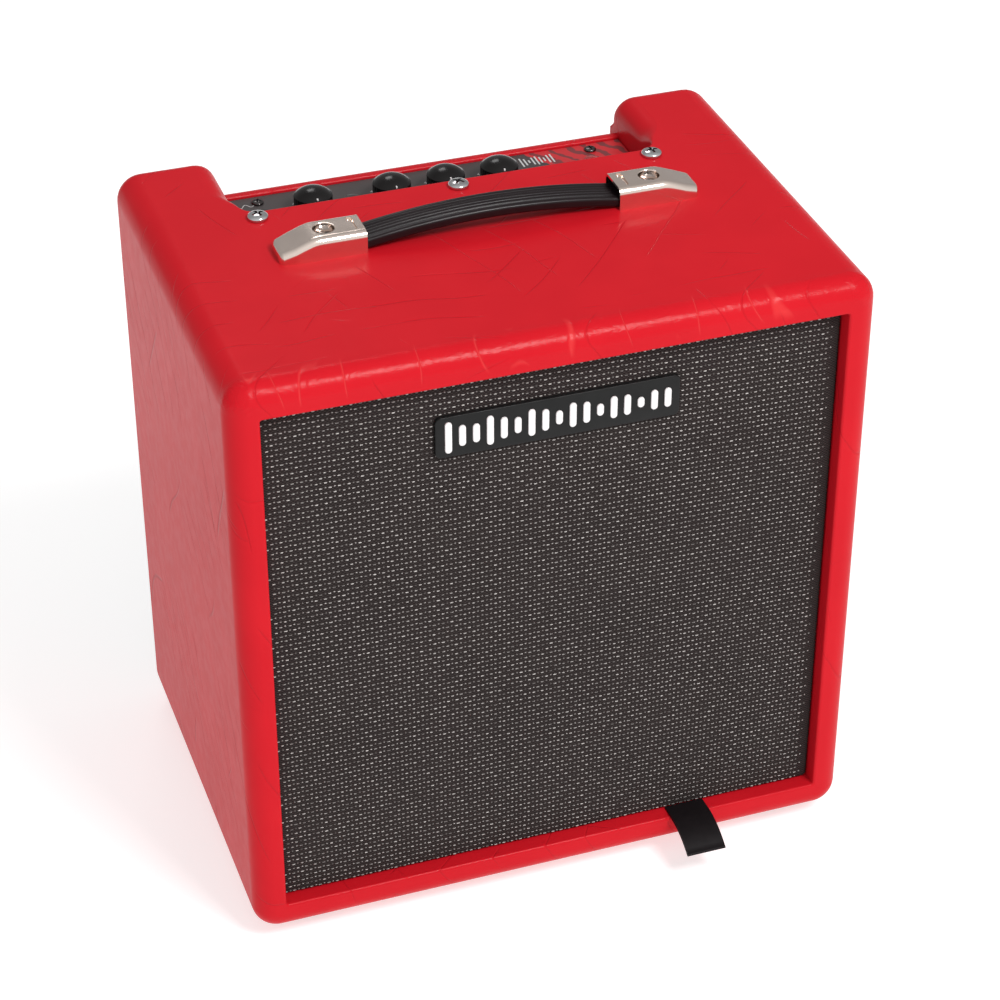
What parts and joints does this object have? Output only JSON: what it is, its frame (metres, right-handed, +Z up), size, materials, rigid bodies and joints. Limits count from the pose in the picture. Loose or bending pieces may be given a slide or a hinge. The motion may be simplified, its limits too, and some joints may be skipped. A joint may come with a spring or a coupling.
{
  "type": "guitar amplifier",
  "caption": "Small closed-back combo amplifier with a cloth grille, a top rear control recess with turning knobs, and a strap handle that lifts.",
  "frame": {"origin": "on the floor under the feet, at the middle of the whole outline seen from above, pull tab included, which is 12 mm in front of the cabinet's own middle", "axes": "+X to the right seen from the front, the grille faces -Y, +Z up"},
  "size_m": [0.305, 0.2397, 0.3256],
  "materials": {
    "mdf": "bare fibreboard",
    "softwood": "sawn pine",
    "red_vinyl": "embossed satin vinyl",
    "black_back": "black textured paint",
    "zinc_screw": "bright zinc",
    "chrome_screw": "polished",
    "black_screw": "black nickel",
    "rubber": "moulded rubber",
    "grille_weave": "woven acoustic cloth with silver fleck",
    "ribbon": "satin ribbon",
    "badge_black": "gloss",
    "badge_silver": "satin white",
    "basket_paint": "black powder coat",
    "gasket_card": "pressed card",
    "cone_paper": "dark pulp",
    "surround_rubber": "foam rubber",
    "coil_copper": "enamelled copper wire",
    "spider_cloth": "resin cloth",
    "ferrite": "ferrite",
    "plated_steel": "zinc plated",
    "panel_paint": "dark grey print on a steel plate",
    "board_green": "solder mask",
    "standoff_brass": "turned",
    "knob_black": "gloss",
    "shaft_aluminium": "turned",
    "button_black": "gloss",
    "button_red": "gloss",
    "socket_black": "moulded",
    "led_red": "clear red",
    "cap_nickel": "satin nickel plate",
    "strap_rubber": "ribbed moulding",
    "core_steel": "spring steel",
    "lead_red": "insulation"
  },
  "bodies": {
    "cabinet": {"left_side_board": "mdf", "right_side_board": "mdf", "top_board": "mdf", "bottom_board": "mdf", "rear_rail": "mdf", "recess_cheeks": "mdf", "vinyl_covering": "red_vinyl", "baffle_board": "mdf", "battens": "softwood", "back_panel": "black_back", "back_screws": "zinc_screw", "rubber_feet": "rubber", "foot_screws": "zinc_screw", "speaker_basket": "basket_paint", "speaker_gasket": "gasket_card", "speaker_surround": "surround_rubber", "spider": "spider_cloth", "speaker_magnet": "ferrite", "magnet_plates": "plated_steel", "speaker_screws": "zinc_screw", "speaker_lead": "lead_red", "chassis": "plated_steel", "chassis_screws": "chrome_screw", "control_panel": "panel_paint", "panel_screws": "black_screw", "circuit_board": "board_green", "board_standoffs": "standoff_brass", "pot_bodies": "plated_steel", "pot_nuts": "zinc_screw", "voice_switch": "socket_black", "power_switch": "socket_black", "input_jack": "socket_black", "mini_jacks": "socket_black", "power_led": "led_red", "dc_socket": "socket_black", "handle_cap_left": "cap_nickel", "handle_cap_right": "cap_nickel", "handle_screws": "chrome_screw"},
    "grille": {"grille_frame": "mdf", "grille_cloth": "grille_weave", "pull_tab": "ribbon", "badge_plate": "badge_black", "badge_bars": "badge_silver"},
    "cone_assembly": {"speaker_cone": "cone_paper", "dust_cap": "cone_paper", "voice_coil": "coil_copper"},
    "gain_control": {"gain_knob": "knob_black", "gain_shaft": "shaft_aluminium"},
    "drive_control": {"drive_knob": "knob_black", "drive_shaft": "shaft_aluminium"},
    "tone_control": {"tone_knob": "knob_black", "tone_shaft": "shaft_aluminium"},
    "level_control": {"level_knob": "knob_black", "level_shaft": "shaft_aluminium"},
    "voice_key": {"voice_button": "button_black"},
    "power_key": {"power_button": "button_red"},
    "strap_left_half": {"strap_left": "strap_rubber", "strap_core_left": "core_steel"},
    "strap_right_half": {"strap_right": "strap_rubber", "strap_core_right": "core_steel"}
  },
  "joints": [
    {"name": "grille_pull", "type": "slide", "parent": "cabinet", "child": "grille", "axis": [0, -1, 0], "range_m": [0, 0.025]},
    {"name": "cone_travel", "type": "slide", "parent": "cabinet", "child": "cone_assembly", "axis": [0, -1, 0], "range_m": [-0.003, 0.003], "stiffness_N_per_m": 1500},
    {"name": "gain_turn", "type": "hinge", "parent": "cabinet", "child": "gain_control", "pos_m": [-0.063, 0.08225, 0.2943], "axis": [0, 0, 1], "range_deg": [-150, 150]},
    {"name": "drive_turn", "type": "hinge", "parent": "cabinet", "child": "drive_control", "pos_m": [-0.0235, 0.08225, 0.2943], "axis": [0, 0, 1], "range_deg": [-150, 150]},
    {"name": "tone_turn", "type": "hinge", "parent": "cabinet", "child": "tone_control", "pos_m": [0.004, 0.08225, 0.2943], "axis": [0, 0, 1], "range_deg": [-150, 150]},
    {"name": "level_turn", "type": "hinge", "parent": "cabinet", "child": "level_control", "pos_m": [0.0315, 0.08225, 0.2943], "axis": [0, 0, 1], "range_deg": [-150, 150]},
    {"name": "voice_press", "type": "slide", "parent": "cabinet", "child": "voice_key", "axis": [0, 0, -1], "range_m": [0, 0.0025], "stiffness_N_per_m": 600},
    {"name": "power_press", "type": "slide", "parent": "cabinet", "child": "power_key", "axis": [0, 0, -1], "range_m": [0, 0.0025], "stiffness_N_per_m": 600},
    {"name": "handle_lift", "type": "hinge", "parent": "cabinet", "child": "strap_left_half", "pos_m": [-0.0775, 0.012, 0.31615], "axis": [0, -1, 0], "range_deg": [0, 8]},
    {"name": "strap_flex", "type": "hinge", "parent": "strap_left_half", "child": "strap_right_half", "pos_m": [0.002, 0.012, 0.3201], "axis": [0, -1, 0], "range_deg": [-16, 0]}
  ],
  "couplings": [
    {"joint": "strap_flex", "follows": "handle_lift", "ratio": -2}
  ]
}
